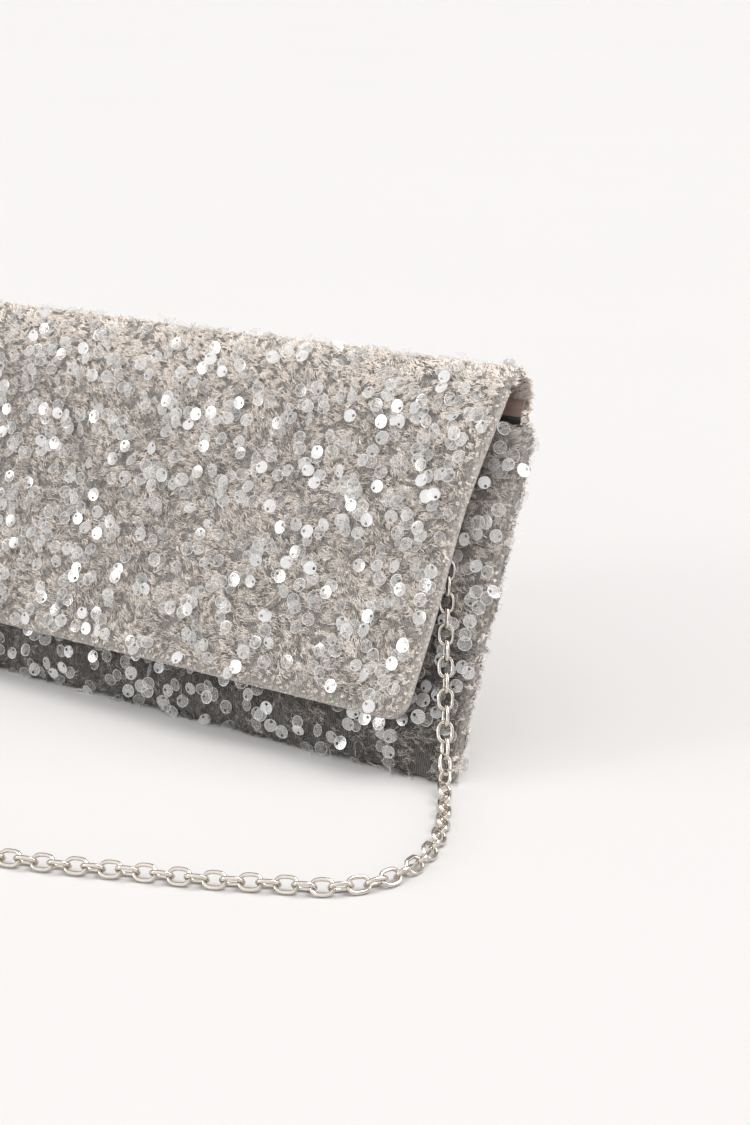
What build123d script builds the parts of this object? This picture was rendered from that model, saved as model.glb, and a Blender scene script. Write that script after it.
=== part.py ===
from build123d import *
import os
from math import cos, pi, radians, sin, tan

os.makedirs("parts", exist_ok=True)

# An envelope clutch purse that stands on its own base and leans back, with a fold-over flap,
# a magnetic snap and a shoulder chain. +X runs along the bag to its right end, -Y is the front
# and +Z is up. The origin is on the floor, under the middle of the front panel's bottom edge.
# Sizes are in millimetres and degrees.

# ---- driving dimensions ----
HALF_WIDTH = 130.0          # from the middle to each side seam
MOUTH_Z = 114.0             # height of the mouth's edge
LEAN = 24.0                 # how far the front leans back from upright
SEAM_BOW = 1.5              # how far the side seams bow forward
SEAM_DEPTH = 6.0            # thickness of the bag at its side seams

SHELL = 1.5                 # outer fabric and its backing
BOARD = 0.6                 # stiffening board
LINING = 0.4                # satin lining

LEVELS = (0.0, 6.0, 15.5, 31.0, 58.5, 90.0, MOUTH_Z)     # heights of the profile's points
FRONT_MID = (0.0, -1.2, -0.3, 5.5, 17.74, 33.0, 45.6)    # front face's y at mid-width
BACK_MID = (36.0, 40.0, 42.3, 44.5, 48.9, 53.7, 57.4)    # back face's y at mid-width
PINCH_X = (80.0, 90.0, 104.0, 116.0, 124.0, HALF_WIDTH)  # where the sides draw in to the seam
PINCH = (1.0, 0.95, 0.75, 0.42, 0.2, 0.0)                # share of the full depth there

FOLD_R = 8.75               # outer radius of the fold over the mouth
FOLD_V = 135.5              # the fold's centre, measured up the lean
FOLD_HALF = 125.0           # half the fold's width
CREASE = 45.0               # the two creases lie this far each side of the fold's top
CREASE_GAP = 2.6            # degrees left free at each crease

FLAP_LENGTH = 118.0         # from the fold to the flap's lower edge
FLAP_EDGE = ((0.0, FOLD_HALF), (40.0, 119.3), (84.0, 117.6), (FLAP_LENGTH, 115.5))  # down, half width
FLAP_SPLAY = 1.8            # how far the flap stands off the lean
FLAP_CORNER_R = 7.0
FLAP_BOARD_INSET = 4.0

SNAP_Z = 53.3               # height of the magnetic snap
SNAP_R = 7.0
SOCKET_H = 2.0
SOCKET_BORE_R = 2.8
SOCKET_FLOOR = 0.3          # metal under the bore and under the magnet's groove
GROOVE_TOP = 1.6            # the groove that holds the magnet ends this high
GROOVE_R = (3.3, 6.2)       # its inner and outer radii
MAGNET_PLAY = 0.1           # free all round the magnet, and half of it under it
PRONG_X = 4.0               # the fixing prongs' distance from the snap's middle
PRONG = (0.6, 3.0)
PRONG_ROOT = 0.2            # how far the prongs run into their snap half
WASHER_GAP = 0.1            # between a washer and the cloth over it
STUD_R = 2.5
STUD_PLATE_R = 6.0
STUD_PLATE_H = 0.9
STUD_REACH = 2.4            # from the flap's lining to the stud's tip

RING_X = 112.0              # the strap rings' distance from the middle
RING_V = 115.0              # the ring bar's place, measured up the lean
RING_W = 6.0                # and its height above the seam's plane
RING_WIRE_R = 0.75
RING_HALF = 3.6             # half the straight bar's length
RING_LEG = 2.0              # from the bar down to the bow
TAB_EYE_R = 1.9
TAB_HALF = 2.2              # half the fabric tab's width
TAB_PLAY = 0.08             # between the ring's bar and the tab's eye
TAB_SEWN = ((1.2, 122.8), (2.9, 123.4))  # (w, v) of its tail's end, sewn into the mouth's top
JUMP_R = 2.05               # middle radius of the jump ring's wire
JUMP_WIRE_R = 0.55

FLOOR_TOP = 3.0             # height of the lining on the bag's floor
BASE_BOARD = 1.0            # thickness of the board in the bag's floor
LINED_INSET = 4.5           # the linings and boards stop this far short of the side seams
SEAM_WIDTH = 4.0            # the sewn-together strip at each end
POCKET_HALF = 55.0
POCKET_Z = (40.0, 92.0)
POCKET_THICK = 0.5

CHAIN_D = 6.0               # the links' envelope
COIL_X, COIL_Y = -65.0, -92.0
COIL_OUTER_R = 42.5
COIL_INNER_R = 22.5

# ---- the leaning frame: w stands out of the front, v runs up the lean ----
SLOPE = radians(LEAN)
OUT = Vector(0, -cos(SLOPE), sin(SLOPE))
UP = Vector(0, sin(SLOPE), cos(SLOPE))


def leaning(x, w, v):
    """A point given by its place along the bag, out of the lean and up the lean."""
    return Vector(x, 0, 0) + OUT * w + UP * v


def lean_of(y, z):
    """The (w, v) place of a (y, z) point."""
    point = Vector(0, y, z)
    return point.dot(OUT), point.dot(UP)


def level_value(value, stops, results):
    """Straight-line interpolation between listed stops."""
    for low, high, a, b in zip(stops, stops[1:], results, results[1:]):
        if value <= high:
            return a + (b - a) * max(0.0, (value - low) / (high - low))
    return results[-1]


# ---- the bag's outer faces ----
def bowed_seam(z):
    share = z / MOUTH_Z
    return tan(SLOPE) * z - 4 * SEAM_BOW * share * (1 - share)


SEAM_LINE = [bowed_seam(z) for z in LEVELS]


def seam_y(z):
    return level_value(z, LEVELS, SEAM_LINE)


def fullness(x):
    return level_value(abs(x), PINCH_X, PINCH)


def front_y(x, z):
    return seam_y(z) + fullness(x) * (level_value(z, LEVELS, FRONT_MID) - seam_y(z))


def back_y(x, z):
    end = seam_y(z) + across(SEAM_DEPTH)
    return end + fullness(x) * (level_value(z, LEVELS, BACK_MID) - end)


def across(thickness):
    """Horizontal thickness of a leaning layer."""
    return thickness / cos(SLOPE)


def heights(low, high):
    return [low] + [z for z in LEVELS if low < z < high] + [high]


def stations(half):
    right = [x for x in PINCH_X if x < half] + [half]
    return [-x for x in reversed(right)] + right


def lofted(xs, near, far, low, high):
    """A solid between two faces, near(x, z) and far(x, z), each giving y."""
    sections = []
    for x in xs:
        rising = [Vector(x, near(x, z), z) for z in heights(low, high)]
        falling = [Vector(x, far(x, z), z) for z in reversed(heights(low, high))]
        sections.append(Wire.make_polygon(rising + falling))
    return Solid.make_loft(sections, ruled=True)


def front_layer(start, thickness, low, high, half):
    return lofted(
        stations(half),
        lambda x, z: front_y(x, z) + across(start),
        lambda x, z: front_y(x, z) + across(start + thickness),
        low,
        high,
    )


def back_layer(start, thickness, low, high, half):
    return lofted(
        stations(half),
        lambda x, z: back_y(x, z) - across(start + thickness),
        lambda x, z: back_y(x, z) - across(start),
        low,
        high,
    )


def filling(xs, low, high):
    """What lies between the front and back panels' inner faces."""
    return lofted(
        xs,
        lambda x, z: front_y(x, z) + across(SHELL),
        lambda x, z: back_y(x, z) - across(SHELL),
        low,
        high,
    )


# ---- the fold over the mouth ----
BACK_W = lean_of(BACK_MID[-1], MOUTH_Z)[0]
FOLD_CENTRE = Vector(BACK_W + FOLD_R, FOLD_V)
CREASE_REAR = 90 + CREASE
CREASE_FRONT = 90 - CREASE
SIDE = Plane(origin=(0, 0, 0), x_dir=OUT, z_dir=(-1, 0, 0))     # draws in (w, v)


def fold_arc(start, thickness, low_angle, high_angle):
    """Part of the fold, between two depths under its outer face and two angles."""
    turn = high_angle - low_angle
    outer = CenterArc(FOLD_CENTRE, FOLD_R - start, low_angle, turn)
    inner = CenterArc(FOLD_CENTRE, FOLD_R - start - thickness, low_angle, turn)
    face = make_face([outer, Line(outer @ 1, inner @ 1), inner, Line(inner @ 0, outer @ 0)])
    return extrude(SIDE * face, FOLD_HALF, both=True)


def back_riser(start, thickness):
    """The straight strip from the mouth's level up the back to the fold, and round to the rear crease."""
    low_outer = lean_of(BACK_MID[-1] - across(start), MOUTH_Z)
    low_inner = lean_of(BACK_MID[-1] - across(start + thickness), MOUTH_Z)
    outline = Polyline(
        low_outer,
        (BACK_W + start, FOLD_V),
        (BACK_W + start + thickness, FOLD_V),
        low_inner,
        close=True,
    )
    strip = extrude(SIDE * make_face(outline), FOLD_HALF, both=True)
    return strip + fold_arc(start, thickness, CREASE_REAR + CREASE_GAP / 2, 180)


def crease_pivot(angle):
    """The point on the fold's outer face where a crease turns."""
    w = FOLD_CENTRE.X + FOLD_R * cos(radians(angle))
    v = FOLD_CENTRE.Y + FOLD_R * sin(radians(angle))
    return leaning(0, w, v)


# ---- the flap ----
SPLAY = radians(FLAP_SPLAY)
FLAP_TOP_W = FOLD_CENTRE.X + FOLD_R * cos(SPLAY)
FLAP_TOP_V = FOLD_CENTRE.Y + FOLD_R * sin(SPLAY)
FLAP_OUT = OUT * cos(SPLAY) + UP * sin(SPLAY)
FLAP_TOP = Plane(origin=leaning(0, FLAP_TOP_W, FLAP_TOP_V), x_dir=(1, 0, 0), z_dir=FLAP_OUT)


def flap_sheet(start, thickness, inset=0.0):
    """A flat layer of the flap, under its outer face by start."""
    right = [(half - inset, min(-inset, max(-down, inset - FLAP_LENGTH))) for down, half in FLAP_EDGE]
    left = [(-x, y) for x, y in reversed(right)]
    face = make_face(Polyline(*right, *left, close=True))
    corners = face.vertices().sort_by(Axis.Y)[:2]
    face = fillet(corners, FLAP_CORNER_R - inset / 2)
    return extrude(FLAP_TOP.offset(-start - thickness) * face, thickness)


def flap_inner_w(v):
    return FLAP_TOP_W + (FLAP_TOP_V - v) * tan(SPLAY) - (SHELL + BOARD + LINING) / cos(SPLAY)


# ---- the magnetic snap ----
SNAP_W, SNAP_V = lean_of(front_y(0, SNAP_Z), SNAP_Z)
SOCKET_BASE = Plane(origin=leaning(0, SNAP_W, SNAP_V), x_dir=(1, 0, 0), z_dir=OUT)
STUD_BASE = Plane(origin=leaning(0, flap_inner_w(SNAP_V), SNAP_V), x_dir=(1, 0, 0), z_dir=FLAP_OUT)


def snap_disc(base, radius, low, high, hole=0.0):
    outline = Circle(radius) - Circle(hole) if hole else Circle(radius)
    return extrude(base.offset(low) * outline, high - low)


def snap_prongs(base, low, high):
    """The two flat prongs that hold a snap half to its washer."""
    legs = [Pos(side * PRONG_X, 0) * Rectangle(*PRONG) for side in (-1, 1)]
    return [extrude(base.offset(low) * leg, high - low) for leg in legs]


def snap_socket():
    base = SOCKET_BASE
    socket = snap_disc(base, SNAP_R, 0, SOCKET_H)
    socket -= snap_disc(base, SOCKET_BORE_R, SOCKET_FLOOR, SOCKET_H)
    socket -= snap_disc(base, GROOVE_R[1], SOCKET_FLOOR, GROOVE_TOP, hole=GROOVE_R[0])
    for prong in snap_prongs(base, -SHELL - BOARD, PRONG_ROOT):
        socket += prong
    return socket


def snap_stud():
    base = STUD_BASE
    stud = snap_disc(base, STUD_PLATE_R, -STUD_PLATE_H, 0)
    stud += snap_disc(base, STUD_R, -STUD_REACH, -STUD_PLATE_H)
    for prong in snap_prongs(base, -PRONG_ROOT, LINING + BOARD):
        stud += prong
    return stud


def snap_parts():
    socket, stud = snap_socket(), snap_stud()
    socket_washer = snap_disc(SOCKET_BASE, SNAP_R, -SHELL - BOARD, -SHELL - WASHER_GAP)
    stud_washer = snap_disc(STUD_BASE, SNAP_R, LINING + WASHER_GAP, LINING + BOARD)
    magnet = snap_disc(
        SOCKET_BASE,
        GROOVE_R[1] - MAGNET_PLAY,
        SOCKET_FLOOR + MAGNET_PLAY / 2,
        GROOVE_TOP - MAGNET_PLAY,
        hole=GROOVE_R[0] + MAGNET_PLAY,
    )
    return {
        "snap_socket": socket,
        "snap_magnet": magnet,
        "socket_washer": socket_washer - socket,
        "snap_stud": stud,
        "stud_washer": stud_washer - stud,
    }


# ---- the rings that the chain hangs from ----
def d_ring():
    """A bar in the tab's eye, two short legs and a half-round bow."""
    bar = Cylinder(RING_WIRE_R, 2 * RING_HALF, rotation=(0, 90, 0))
    ring = Pos(leaning(RING_X, RING_W, RING_V)) * bar
    bow_v = RING_V - RING_LEG
    flat = Plane(origin=leaning(RING_X, RING_W, bow_v), x_dir=(1, 0, 0), z_dir=OUT)
    bow = flat * CenterArc((0, 0), RING_HALF, 180, 180)
    ring += sweep(Plane(origin=bow @ 0, z_dir=bow % 0) * Circle(RING_WIRE_R), path=bow)
    for side in (-1, 1):
        corner = leaning(RING_X + side * RING_HALF, RING_W, RING_V)
        ring += Pos(corner) * Sphere(RING_WIRE_R)
        ring += extrude(Plane(origin=corner, z_dir=-UP) * Circle(RING_WIRE_R), RING_LEG)
    return ring


def jump_ring():
    """A round ring through the D-ring's bow, standing across it."""
    lowest_v = RING_V - RING_LEG - RING_HALF
    centre_v = lowest_v - (JUMP_R - JUMP_WIRE_R - RING_WIRE_R)
    across_bag = Plane(origin=leaning(RING_X, RING_W, centre_v), x_dir=OUT, z_dir=(-1, 0, 0))
    return across_bag * Torus(JUMP_R, JUMP_WIRE_R)


def ring_tab():
    """A fabric tab with an eye round the ring's bar, its tail sewn to the front panel's top."""
    near_eye = ((RING_W + 0.94 * TAB_EYE_R, RING_V + 0.3 * TAB_EYE_R), (RING_W - TAB_EYE_R, RING_V + 0.1 * TAB_EYE_R))
    tail = Polyline(*TAB_SEWN, *near_eye, close=True)
    eye = Pos(RING_W, RING_V) * Circle(TAB_EYE_R)
    bore = Pos(RING_W, RING_V) * Circle(RING_WIRE_R + TAB_PLAY)
    return Pos(RING_X, 0, 0) * extrude(SIDE * (make_face(tail) + eye - bore), TAB_HALF, both=True)


# ---- the shoulder chain ----
CHAIN_ON_BAG = (             # (x, w, v) down the right end, from the jump ring to the corner
    (112.0, 6.4, 105.85),
    (112.0, 7.0, 95.0),
    (112.4, 7.2, 84.0),
    (115.1, 7.2, 72.5),
    (117.7, 7.0, 60.5),
    (121.2, 6.3, 45.0),
    (125.0, 5.4, 28.6),
    (128.3, 4.2, 12.3),
)
CHAIN_FROM_CORNER = ((132.3, -5.2, 5.4), (137.2, -13.2, 3.0))
CHAIN_ON_FLOOR = (           # (x, y, z) from the right corner, forward and round to the coil
    (144.5, -25.0, 3.0),
    (152.0, -40.0, 3.0),
    (156.3, -58.0, 3.0),
    (154.0, -74.5, 3.0),
    (143.5, -87.5, 3.0),
    (127.5, -94.0, 3.0),
    (109.0, -103.5, 3.0),
    (89.0, -110.5, 3.0),
    (67.5, -119.5, 3.0),
    (44.0, -127.5, 3.0),
    (18.0, -134.0, 3.0),
    (-9.0, -137.0, 3.0),
    (-33.0, -136.8, 3.0),
    (-51.0, -134.8, 3.0),
)
CHAIN_TO_LEFT = (            # from the coil back to the left corner
    (-108.8, -81.0, 3.0),
    (-110.5, -71.0, 3.0),
    (-117.0, -62.0, 3.0),
    (-131.0, -53.0, 3.0),
    (-142.0, -41.0, 3.0),
    (-144.0, -25.5, 3.0),
)


def chain_radii(points):
    """The largest arc that fits at each corner of a route."""
    radii = []
    for a, b, c in zip(points, points[1:], points[2:]):
        turn = (b - a).get_angle(c - b)
        shorter = min((b - a).length, (c - b).length)
        radii.append(0.45 * shorter / tan(radians(turn) / 2))
    return radii


def chain_tube(name, points):
    radii = chain_radii(points)
    path = FilletPolyline(*points, radius=radii)
    start = Plane(origin=path @ 0, z_dir=path % 0)
    tube = sweep(start * Circle(CHAIN_D / 2), path=path)
    length = path.length
    true_volume = pi * CHAIN_D**2 / 4 * length
    print(name, "length %.1f" % length, "volume / (section x length) %.4f" % (tube.volume / true_volume))
    print("  bend radii", ["%.0f" % r for r in radii], "smallest %.1f" % min(radii))
    return tube


def right_route():
    return [leaning(*place) for place in CHAIN_ON_BAG] + [
        Vector(*place) for place in CHAIN_FROM_CORNER + CHAIN_ON_FLOOR
    ]


def left_route():
    bag = [leaning(*place) for place in CHAIN_ON_BAG] + [Vector(*place) for place in CHAIN_FROM_CORNER]
    mirrored = [Vector(-p.X, p.Y, p.Z) for p in reversed(bag)]
    return [Vector(*place) for place in CHAIN_TO_LEFT] + mirrored


def chain_coil():
    ring = Cylinder(COIL_OUTER_R, CHAIN_D) - Cylinder(COIL_INNER_R, CHAIN_D)
    return Pos(COIL_X, COIL_Y, CHAIN_D / 2) * ring


# ---- all the pieces ----
def bag_parts():
    board_start = SHELL
    lining_start = SHELL + BOARD
    lining_half = HALF_WIDTH - LINED_INSET
    seam = (HALF_WIDTH - SEAM_WIDTH, HALF_WIDTH)
    base_top = SHELL + BASE_BOARD
    back_lining = back_layer(lining_start, LINING, FLOOR_TOP, MOUTH_Z, lining_half)
    return {
        "front_panel": front_layer(0, SHELL, 0, MOUTH_Z, HALF_WIDTH),
        "back_panel": back_layer(0, SHELL, 0, MOUTH_Z, HALF_WIDTH) + back_riser(0, SHELL),
        "base_panel": filling(stations(lining_half), 0, SHELL),
        "base_board": filling(stations(lining_half), SHELL, base_top),
        "base_lining": filling(stations(lining_half), base_top, FLOOR_TOP),
        "front_board": front_layer(board_start, BOARD, FLOOR_TOP, MOUTH_Z - 2, lining_half),
        "back_board": back_layer(board_start, BOARD, FLOOR_TOP, MOUTH_Z - 1, lining_half),
        "front_lining": front_layer(lining_start, LINING, FLOOR_TOP, MOUTH_Z - 0.5, lining_half),
        "back_lining": back_lining + back_riser(SHELL, BOARD + LINING),
        "slip_pocket": back_layer(SHELL + BOARD + LINING, POCKET_THICK, *POCKET_Z, POCKET_HALF),
        "left_side_seam": filling([-x for x in reversed(seam)], 0, MOUTH_Z),
        "right_side_seam": filling(seam, 0, MOUTH_Z),
    }


def fold_parts():
    low = CREASE_FRONT + CREASE_GAP / 2
    high = CREASE_REAR - CREASE_GAP / 2
    return {
        "fold_panel": fold_arc(0, SHELL, low, high),
        "fold_lining": fold_arc(SHELL, BOARD + LINING, low, high),
    }


def flap_parts():
    high = CREASE_FRONT - CREASE_GAP / 2
    lining_arc = fold_arc(SHELL, BOARD + LINING, FLAP_SPLAY, high)
    return {
        "flap_panel": flap_sheet(0, SHELL) + fold_arc(0, SHELL, FLAP_SPLAY, high),
        "flap_board": flap_sheet(SHELL, BOARD, FLAP_BOARD_INSET),
        "flap_lining": flap_sheet(SHELL + BOARD, LINING) + lining_arc,
    }


def strap_parts():
    right = {"ring_tab": ring_tab(), "d_ring": d_ring(), "jump_ring": jump_ring()}
    parts = {}
    for name, solid in right.items():
        parts["right_" + name] = solid
        parts["left_" + name] = mirror(solid, about=Plane.YZ)
    parts["chain_run_right"] = chain_tube("chain_run_right", right_route())
    parts["chain_run_left"] = chain_tube("chain_run_left", left_route())
    parts["chain_coil"] = chain_coil()
    return parts


def main():
    parts = {**bag_parts(), **fold_parts(), **flap_parts()}
    snap = snap_parts()
    for name in ("front_panel", "front_board", "front_lining"):
        parts[name] = parts[name] - snap["snap_socket"] - snap["socket_washer"]
    for name in ("flap_lining", "flap_board"):
        parts[name] = parts[name] - snap["snap_stud"] - snap["stud_washer"]
    parts.update(snap)
    parts.update(strap_parts())
    for name, shape in parts.items():
        export_step(shape, "parts/" + name + ".step")
    for crease, angle in (("rear", CREASE_REAR), ("front", CREASE_FRONT)):
        pivot = crease_pivot(angle)
        print(crease, "crease at y %.3f z %.3f" % (pivot.Y, pivot.Z))
    ring = leaning(RING_X, RING_W, RING_V)
    print("ring bar at x %.3f y %.3f z %.3f" % (ring.X, ring.Y, ring.Z))


main()
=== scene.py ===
import math

import bpy
import numpy as np
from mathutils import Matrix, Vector
from mathutils.kdtree import KDTree


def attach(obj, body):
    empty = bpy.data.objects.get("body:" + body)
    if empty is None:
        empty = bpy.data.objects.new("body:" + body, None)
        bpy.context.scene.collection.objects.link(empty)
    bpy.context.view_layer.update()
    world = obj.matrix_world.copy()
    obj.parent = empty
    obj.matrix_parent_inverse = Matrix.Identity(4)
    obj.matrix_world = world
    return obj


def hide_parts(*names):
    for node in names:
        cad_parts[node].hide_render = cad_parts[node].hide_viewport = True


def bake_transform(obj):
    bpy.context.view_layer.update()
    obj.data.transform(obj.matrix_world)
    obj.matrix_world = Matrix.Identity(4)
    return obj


# A sequinned clutch purse of crushed silver-grey pile, with a fold-over flap and a cable chain.
# Lengths are in millimetres up to the moment a mesh is made, and angles in degrees.

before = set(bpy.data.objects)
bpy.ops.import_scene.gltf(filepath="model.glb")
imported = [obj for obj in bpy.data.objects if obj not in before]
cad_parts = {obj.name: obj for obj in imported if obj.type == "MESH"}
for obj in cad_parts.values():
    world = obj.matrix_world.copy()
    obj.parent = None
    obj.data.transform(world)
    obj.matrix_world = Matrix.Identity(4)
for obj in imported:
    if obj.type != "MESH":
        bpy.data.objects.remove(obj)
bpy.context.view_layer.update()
MM = 0.001

# ---- the bag's shape, as part.py has it ----
HALF_WIDTH = 130.0
MOUTH_Z = 114.0
SEAM_BOW = 1.5
SEAM_DEPTH = 6.0
SHELL, BOARD, LINING = 1.5, 0.6, 0.4
LAYERS = SHELL + BOARD + LINING
LEVELS = (0.0, 6.0, 15.5, 31.0, 58.5, 90.0, MOUTH_Z)
FRONT_MID = (0.0, -1.2, -0.3, 5.5, 17.74, 33.0, 45.6)
BACK_MID = (36.0, 40.0, 42.3, 44.5, 48.9, 53.7, 57.4)
PINCH_X = (80.0, 90.0, 104.0, 116.0, 124.0, HALF_WIDTH)
PINCH = (1.0, 0.95, 0.75, 0.42, 0.2, 0.0)
FOLD_R = 8.75
FOLD_V = 135.5
FOLD_HALF = 125.0
FLAP_LENGTH = 118.0
FLAP_EDGE_DOWN = (0.0, 40.0, 84.0, FLAP_LENGTH)
FLAP_EDGE_HALF = (FOLD_HALF, 119.3, 117.6, 115.5)
FLAP_SPLAY = 1.8
FLAP_CORNER_R = 7.0
SNAP_Z = 53.3

LEAN = math.radians(24.0)
OUT = np.array((0.0, -math.cos(LEAN), math.sin(LEAN)))
UP = np.array((0.0, math.sin(LEAN), math.cos(LEAN)))
ALONG = np.array((1.0, 0.0, 0.0))


def leaning(x, w, v):
    """A point given by its place along the bag, out of the lean and up the lean."""
    return np.array((x, 0.0, 0.0)) + OUT * w + UP * v


# ---- camera ----
camera_data = bpy.data.cameras.new("camera")
camera_data.lens, camera_data.sensor_width = 60.8, 36.0
camera = bpy.data.objects.new("camera", camera_data)
bpy.context.scene.collection.objects.link(camera)
camera.location = (0.4388, -0.5059, 0.2620)
camera.rotation_mode = "QUATERNION"
camera.rotation_quaternion = Vector((-0.531, 0.7946, -0.2945)).to_track_quat("-Z", "Y")
bpy.context.scene.camera = camera


# ---- small helpers ----
def unit(vectors):
    return vectors / np.maximum(np.linalg.norm(vectors, axis=-1, keepdims=True), 1e-9)


def ease(value, low, high):
    """0 below low, 1 above high, and a smooth rise between."""
    share = np.clip((np.asarray(value, float) - low) / (high - low), 0, 1)
    return share * share * (3 - 2 * share)


def curve_through(value, stops, results):
    """A smooth curve through listed stops."""
    stops, results = np.array(stops, float), np.array(results, float)
    slopes = np.gradient(results, stops)
    i = np.clip(np.searchsorted(stops, value, side="right") - 1, 0, len(stops) - 2)
    step = stops[i + 1] - stops[i]
    t = np.clip((value - stops[i]) / step, 0, 1)
    return (
        (2 * t**3 - 3 * t**2 + 1) * results[i]
        + (t**3 - 2 * t**2 + t) * step * slopes[i]
        + (3 * t**2 - 2 * t**3) * results[i + 1]
        + (t**3 - t**2) * step * slopes[i + 1]
    )


NOISE = np.random.default_rng(11).random((24, 24, 24))


def lumps(points, size, seed=0):
    """Smooth noise from -1 to 1 over points, with lumps of about that size."""
    place = points / size + 5.37 * seed
    cell = np.floor(place).astype(int)
    part = place - cell
    part = part * part * (3 - 2 * part)
    total = 0.0
    for corner in np.ndindex(2, 2, 2):
        near = np.where(corner, part, 1 - part).prod(-1)
        a, b, c = np.moveaxis((cell + corner) % 24, -1, 0)
        total = total + near * NOISE[a, b, c]
    return 2 * total - 1


def grid_frame(points):
    """Unit tangents and the outward normal of a grid of points."""
    along, up = unit(np.gradient(points, axis=0)), unit(np.gradient(points, axis=1))
    return along, up, unit(np.cross(along, up))


def new_mesh(name, points, faces, materials, face_material=None, values=None, smooth=True):
    """A mesh object from millimetre points and an array of same-sided faces."""
    mesh = bpy.data.meshes.new(name)
    mesh.vertices.add(len(points))
    mesh.vertices.foreach_set("co", (np.asarray(points) * MM).astype(np.float32).ravel())
    sides = faces.shape[1]
    mesh.loops.add(faces.size)
    mesh.loops.foreach_set("vertex_index", faces.astype(np.int32).ravel())
    mesh.polygons.add(len(faces))
    mesh.polygons.foreach_set("loop_start", np.arange(0, faces.size, sides, dtype=np.int32))
    for material in materials:
        mesh.materials.append(material)
    if face_material is not None:
        mesh.polygons.foreach_set("material_index", np.asarray(face_material, np.int32))
    mesh.polygons.foreach_set("use_smooth", np.full(len(faces), smooth))
    mesh.update(calc_edges=True)
    for key, data in (values or {}).items():
        attribute = mesh.attributes.new(key, "FLOAT", "POINT")
        attribute.data.foreach_set("value", np.asarray(data, np.float32).ravel())
    piece = bpy.data.objects.new(name, mesh)
    bpy.context.scene.collection.objects.link(piece)
    return piece


def shell(name, outer, inner, material, values=None):
    """A closed solid between two grids, with its outside on the outer one."""
    count, rows = outer.shape[:2]
    top = np.arange(count * rows).reshape(count, rows)
    low = top + count * rows

    def quads(a):
        return np.stack([a[:-1, :-1], a[1:, :-1], a[1:, 1:], a[:-1, 1:]], -1).reshape(-1, 4)

    rim = np.concatenate([top[:, 0], top[-1, 1:], top[-2::-1, -1], top[0, -2:0:-1]])
    after = np.roll(rim, -1)
    sides = np.stack([rim, rim + count * rows, after + count * rows, after], -1)
    faces = np.concatenate([quads(top), quads(low)[:, ::-1], sides])
    points = np.concatenate([outer.reshape(-1, 3), inner.reshape(-1, 3)])
    points[:, 2] = np.maximum(points[:, 2], 0.05)
    if values:
        values = {key: np.tile(np.asarray(data).ravel(), 2) for key, data in values.items()}
    return new_mesh(name, points, faces, [material], values=values)


# ---- materials ----
def new_material(name, **settings):
    """A Principled material with constants set straight on the shader's sockets."""
    material = bpy.data.materials.new(name)
    material.use_nodes = True
    shader = material.node_tree.nodes["Principled BSDF"]
    for key, value in settings.items():
        socket = shader.inputs[key.replace("_", " ")]
        socket.default_value = (*value, 1.0) if isinstance(value, tuple) else value
    return material, shader


def add_node(material, kind, **settings):
    node = material.node_tree.nodes.new("ShaderNode" + kind)
    for key, value in settings.items():
        if hasattr(node, key):
            setattr(node, key, value)
        else:
            node.inputs[key.replace("_", " ")].default_value = value
    return node


def join(material, start, end):
    material.node_tree.links.new(start, end)


def object_noise(material, scale, detail=4.0, roughness=0.6, stretch=(1, 1, 1)):
    """Noise fixed to the object's own coordinates, in metres."""
    place = add_node(material, "TexCoord")
    mapping = add_node(material, "Mapping")
    mapping.inputs["Scale"].default_value = stretch
    noise = add_node(material, "TexNoise", Scale=scale, Detail=detail, Roughness=roughness)
    join(material, place.outputs["Object"], mapping.inputs["Vector"])
    join(material, mapping.outputs["Vector"], noise.inputs["Vector"])
    return noise.outputs["Fac"]


def ramp(material, factor, *stops):
    """A colour ramp from (place, linear colour) stops."""
    node = add_node(material, "ValToRGB")
    elements = node.color_ramp.elements
    while len(elements) < len(stops):
        elements.new(0.5)
    for element, (place, colour) in zip(elements, stops):
        element.position, element.color = place, (*colour, 1.0)
    join(material, factor, node.inputs["Fac"])
    return node.outputs["Color"]


def tinted(material, colour, factor):
    """colour times a factor from 0 up."""
    node = add_node(material, "VectorMath", operation="SCALE")
    join(material, colour, node.inputs[0])
    join(material, factor, node.inputs["Scale"])
    return node.outputs["Vector"]


def bumped(material, shader, height, strength, distance):
    node = add_node(material, "Bump", Strength=strength, Distance=distance)
    join(material, height, node.inputs["Height"])
    join(material, node.outputs["Normal"], shader.inputs["Normal"])


PILE = np.array((0.675, 0.617, 0.562))      # the pile's own colour, linear
SATIN = np.array((0.40, 0.29, 0.25))


def shade(colour, share):
    return tuple(float(min(1.0, c * share)) for c in colour)


def pile_ground():
    """The knitted ground under the pile, painted darker than the pile as shade down among the tufts: mottled,
    with fine ribs that show at the bare edges.
    """
    material, shader = new_material(
        "pile_ground", Roughness=0.9, Sheen_Weight=0.35, Sheen_Roughness=0.5, Specular_IOR_Level=0.2
    )
    mottle = ramp(
        material, object_noise(material, 900, 5),
        (0.25, shade(PILE, 0.18)), (0.5, shade(PILE, 0.45)), (0.78, shade(PILE, 0.85)),
    )
    tone = add_node(material, "Attribute", attribute_name="tone")
    join(material, tinted(material, mottle, tone.outputs["Fac"]), shader.inputs["Base Color"])
    place = add_node(material, "TexCoord")
    ribs = add_node(material, "TexWave", Scale=420.0, Distortion=3.0, Detail=2.0)
    ribs.bands_direction = "X"
    join(material, place.outputs["Object"], ribs.inputs["Vector"])
    grain = add_node(material, "Math", operation="ADD")
    join(material, ribs.outputs["Fac"], grain.inputs[0])
    join(material, object_noise(material, 1600, 3), grain.inputs[1])
    bumped(material, shader, grain.outputs["Value"], 0.7, 0.0006)
    return material


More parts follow.
